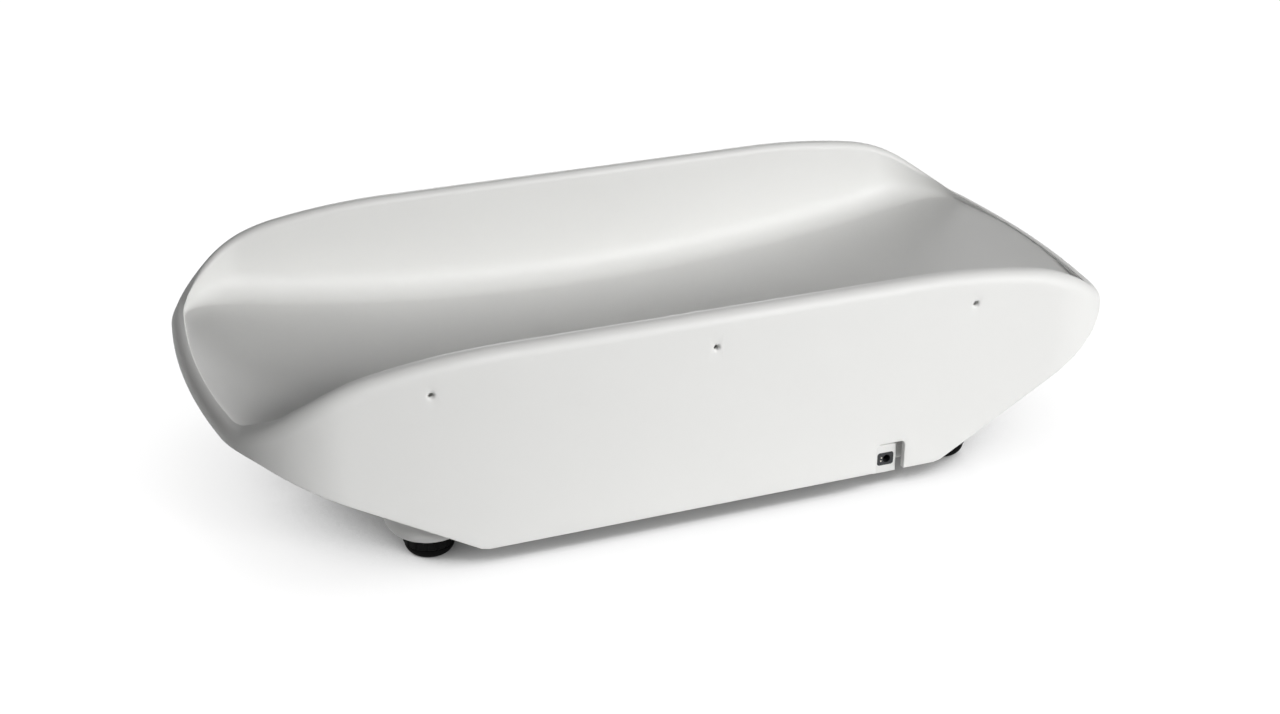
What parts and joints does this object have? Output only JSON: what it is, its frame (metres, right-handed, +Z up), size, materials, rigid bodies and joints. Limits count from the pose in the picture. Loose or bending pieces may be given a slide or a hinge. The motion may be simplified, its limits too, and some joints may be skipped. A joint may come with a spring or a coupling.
{
  "type": "digital baby weighing scale",
  "caption": "Boat-shaped weighing tray carried by a load cell over a low base with levelling feet, a front console with display and keys, and a rear power socket.",
  "frame": {"origin": "on the floor, under the middle of the tray", "axes": "+X along the tray, +Y towards the rear with the power socket, +Z up"},
  "size_m": [0.57, 0.258, 0.1374],
  "materials": {
    "tray_white": "satin moulded white ABS",
    "base_white": "fine-textured white ABS",
    "console_white": "satin moulded white ABS",
    "aluminium": "machined, natural",
    "steel": "zinc-plated",
    "brass": "turned",
    "contact_metal": "nickel-plated",
    "black_plastic": "moulded black plastic",
    "rubber": "matt moulded rubber",
    "silicone": "translucent grey silicone",
    "circuit_board": "green solder mask",
    "clear_lens": "clear polycarbonate window",
    "lcd": "liquid-crystal glass over a backlight",
    "battery_can": "plain wrapped steel cans",
    "key_grey": "moulded blue-grey ABS"
  },
  "bodies": {
    "base": {"base_housing": "base_white", "base_chassis": "steel", "chassis_screws": "steel", "lower_spacer": "steel", "load_cell": "aluminium", "cell_base_bolts": "steel", "overload_stops": "steel", "power_jack": "black_plastic", "jack_contacts": "contact_metal", "battery_holder": "black_plastic", "batteries": "battery_can", "battery_contacts": "contact_metal", "console_fascia": "console_white", "fascia_screws": "steel", "display_lens": "clear_lens", "lcd_module": "lcd", "main_board": "circuit_board", "board_screws": "steel", "key_mat": "silicone", "foot_nuts": "brass"},
    "tray": {"tray_shell": "tray_white", "tray_carrier": "aluminium", "carrier_screws": "steel", "upper_spacer": "steel", "cell_top_bolts": "steel"},
    "battery_cover": {"battery_cover": "base_white"},
    "power_key": {"power_key": "key_grey"},
    "unit_key": {"unit_key": "key_grey"},
    "hold_key": {"hold_key": "key_grey"},
    "tare_key": {"tare_key": "key_grey"},
    "front_right_sole": {"front_right_sole": "rubber"},
    "front_right_wheel": {"front_right_wheel": "black_plastic"},
    "rear_right_sole": {"rear_right_sole": "rubber"},
    "rear_right_wheel": {"rear_right_wheel": "black_plastic"},
    "front_left_sole": {"front_left_sole": "rubber"},
    "front_left_wheel": {"front_left_wheel": "black_plastic"},
    "rear_left_sole": {"rear_left_sole": "rubber"},
    "rear_left_wheel": {"rear_left_wheel": "black_plastic"}
  },
  "joints": [
    {"name": "tray_press", "type": "slide", "parent": "base", "child": "tray", "axis": [0, 0, -1], "range_m": [0, 0.0008], "stiffness_N_per_m": 490000, "deforming": ["load_cell"]},
    {"name": "battery_cover_slide", "type": "slide", "parent": "base", "child": "battery_cover", "axis": [0, 1, 0], "range_m": [0, 0.012]},
    {"name": "power_key_press", "type": "slide", "parent": "base", "child": "power_key", "axis": [0, 0.9962, -0.0872], "range_m": [0, 0.0008], "stiffness_N_per_m": 1500, "springref_m": -0.0006},
    {"name": "unit_key_press", "type": "slide", "parent": "base", "child": "unit_key", "axis": [0, 0.9962, -0.0872], "range_m": [0, 0.0008], "stiffness_N_per_m": 1500, "springref_m": -0.0006},
    {"name": "hold_key_press", "type": "slide", "parent": "base", "child": "hold_key", "axis": [0, 0.9962, -0.0872], "range_m": [0, 0.0008], "stiffness_N_per_m": 1500, "springref_m": -0.0006},
    {"name": "tare_key_press", "type": "slide", "parent": "base", "child": "tare_key", "axis": [0, 0.9962, -0.0872], "range_m": [0, 0.0008], "stiffness_N_per_m": 1500, "springref_m": -0.0006},
    {"name": "front_right_foot_lift", "type": "slide", "parent": "base", "child": "front_right_sole", "axis": [0, 0, -1], "range_m": [0, 0.006]},
    {"name": "front_right_foot_turn", "type": "hinge", "parent": "front_right_sole", "child": "front_right_wheel", "pos_m": [-0.1674, -0.0919, 0.01], "axis": [0, 0, -1], "range_deg": [0, 1729]},
    {"name": "rear_right_foot_lift", "type": "slide", "parent": "base", "child": "rear_right_sole", "axis": [0, 0, -1], "range_m": [0, 0.006]},
    {"name": "rear_right_foot_turn", "type": "hinge", "parent": "rear_right_sole", "child": "rear_right_wheel", "pos_m": [-0.1674, 0.0919, 0.01], "axis": [0, 0, -1], "range_deg": [0, 1729]},
    {"name": "front_left_foot_lift", "type": "slide", "parent": "base", "child": "front_left_sole", "axis": [0, 0, -1], "range_m": [0, 0.006]},
    {"name": "front_left_foot_turn", "type": "hinge", "parent": "front_left_sole", "child": "front_left_wheel", "pos_m": [0.1674, -0.0919, 0.01], "axis": [0, 0, -1], "range_deg": [0, 1729]},
    {"name": "rear_left_foot_lift", "type": "slide", "parent": "base", "child": "rear_left_sole", "axis": [0, 0, -1], "range_m": [0, 0.006]},
    {"name": "rear_left_foot_turn", "type": "hinge", "parent": "rear_left_sole", "child": "rear_left_wheel", "pos_m": [0.1674, 0.0919, 0.01], "axis": [0, 0, -1], "range_deg": [0, 1729]}
  ],
  "couplings": [
    {"joint": "front_right_foot_turn", "follows": "front_right_foot_lift", "rad_per_m": 5026.5},
    {"joint": "rear_right_foot_turn", "follows": "rear_right_foot_lift", "rad_per_m": 5026.5},
    {"joint": "front_left_foot_turn", "follows": "front_left_foot_lift", "rad_per_m": 5026.5},
    {"joint": "rear_left_foot_turn", "follows": "rear_left_foot_lift", "rad_per_m": 5026.5}
  ]
}
